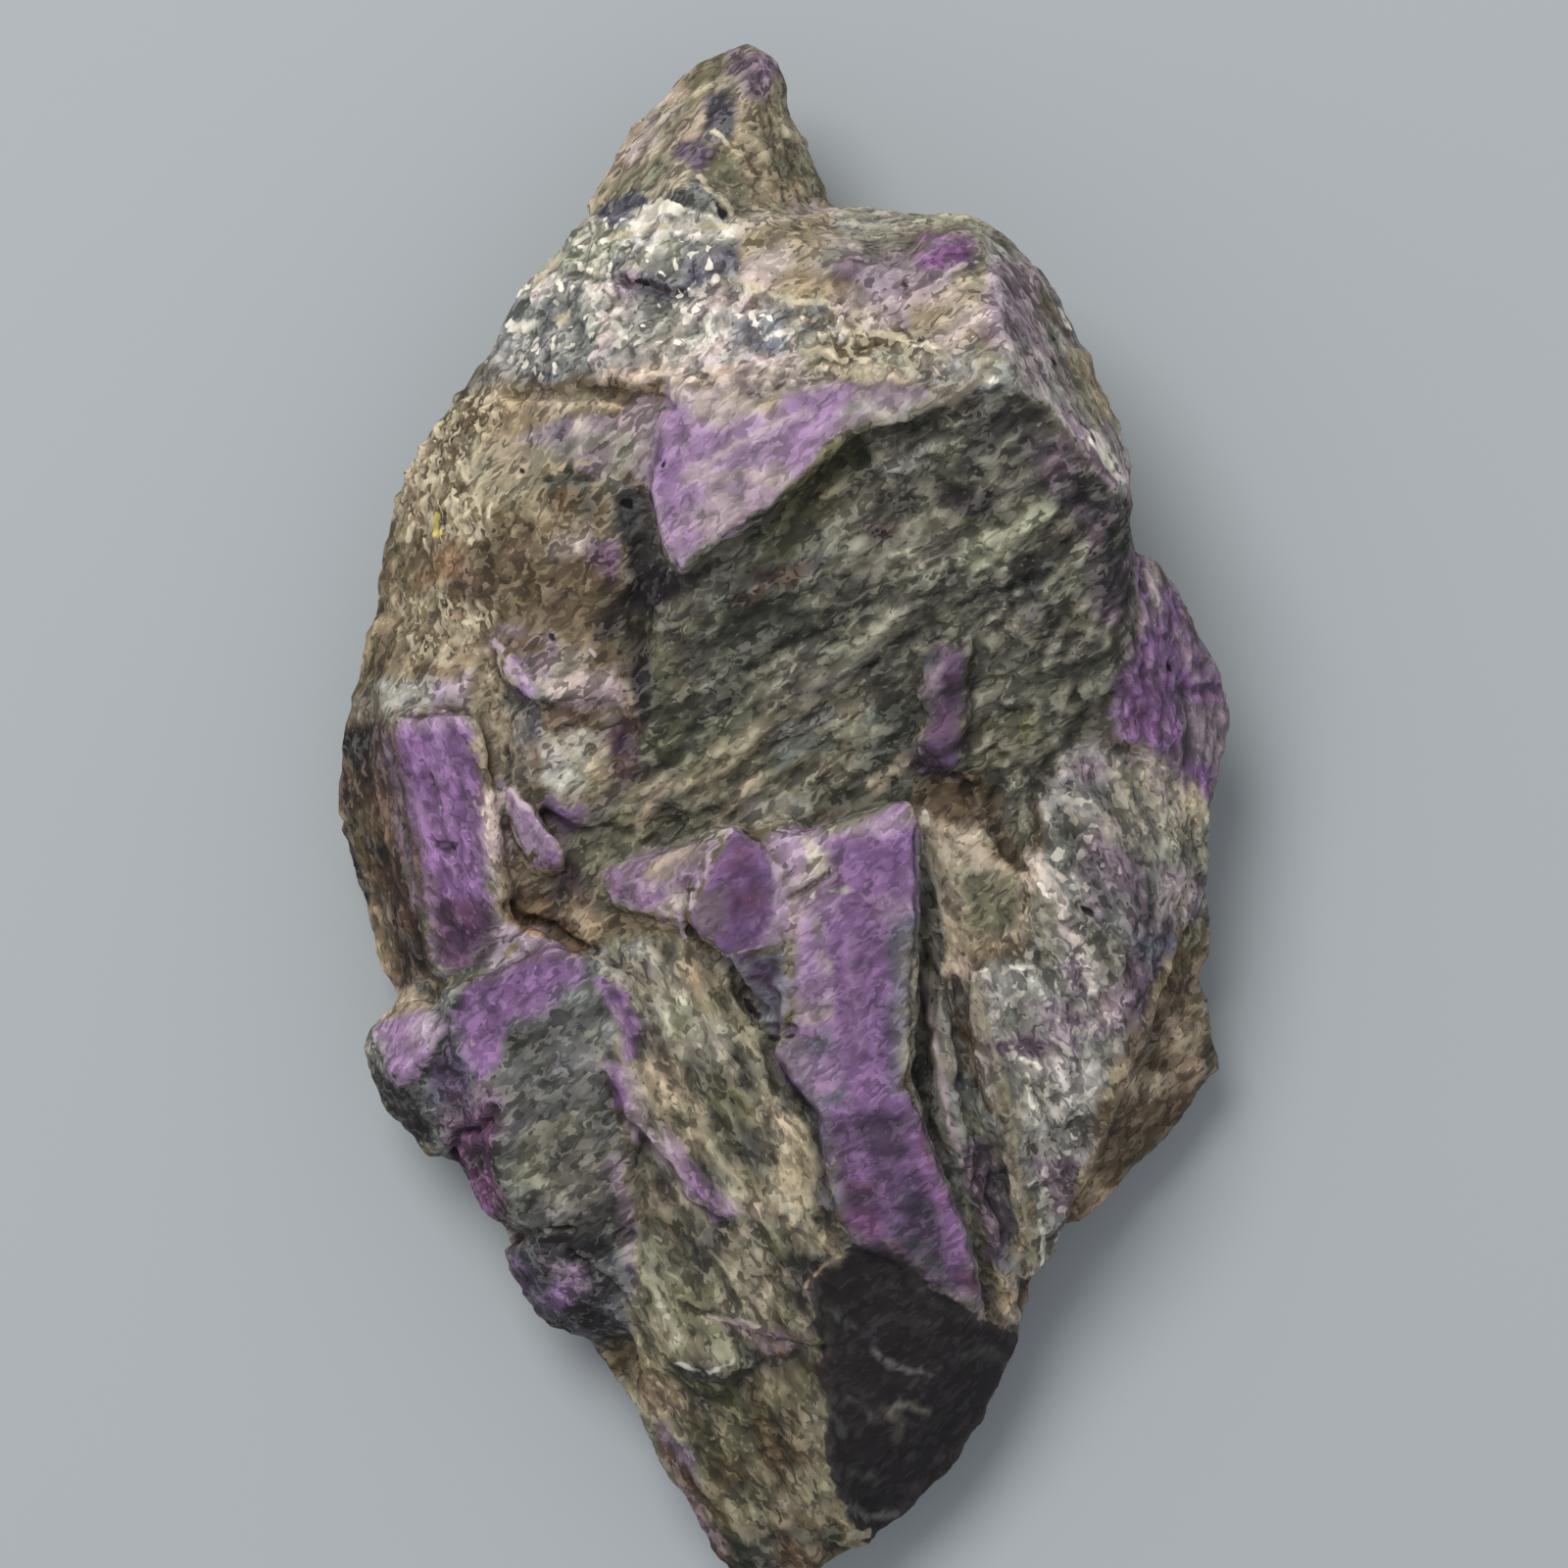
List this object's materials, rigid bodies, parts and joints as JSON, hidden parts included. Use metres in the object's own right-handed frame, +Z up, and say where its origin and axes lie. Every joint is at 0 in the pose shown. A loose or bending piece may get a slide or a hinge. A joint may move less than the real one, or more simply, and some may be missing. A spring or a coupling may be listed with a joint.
{
  "type": "purpurite specimen",
  "caption": "Broken lump of purple phosphate ore with a horn at one end, a high ledge over a dark face, tilted plates and a flat underside to rest on",
  "frame": {"origin": "on the resting face at height zero, under the middle of the stone's box", "axes": "+Y runs along the stone's length to the horn, +X is to the right seen from above, +Z is up through the face that the picture shows"},
  "size_m": [0.037, 0.0642, 0.0192],
  "materials": {
    "stone": "dull weathered ore: purple, lilac and magenta plates among olive grey, dark brown and cream crust, with small mica glints"
  },
  "bodies": {
    "root": {"purpurite_stone": "stone"}
  },
  "joints": []
}
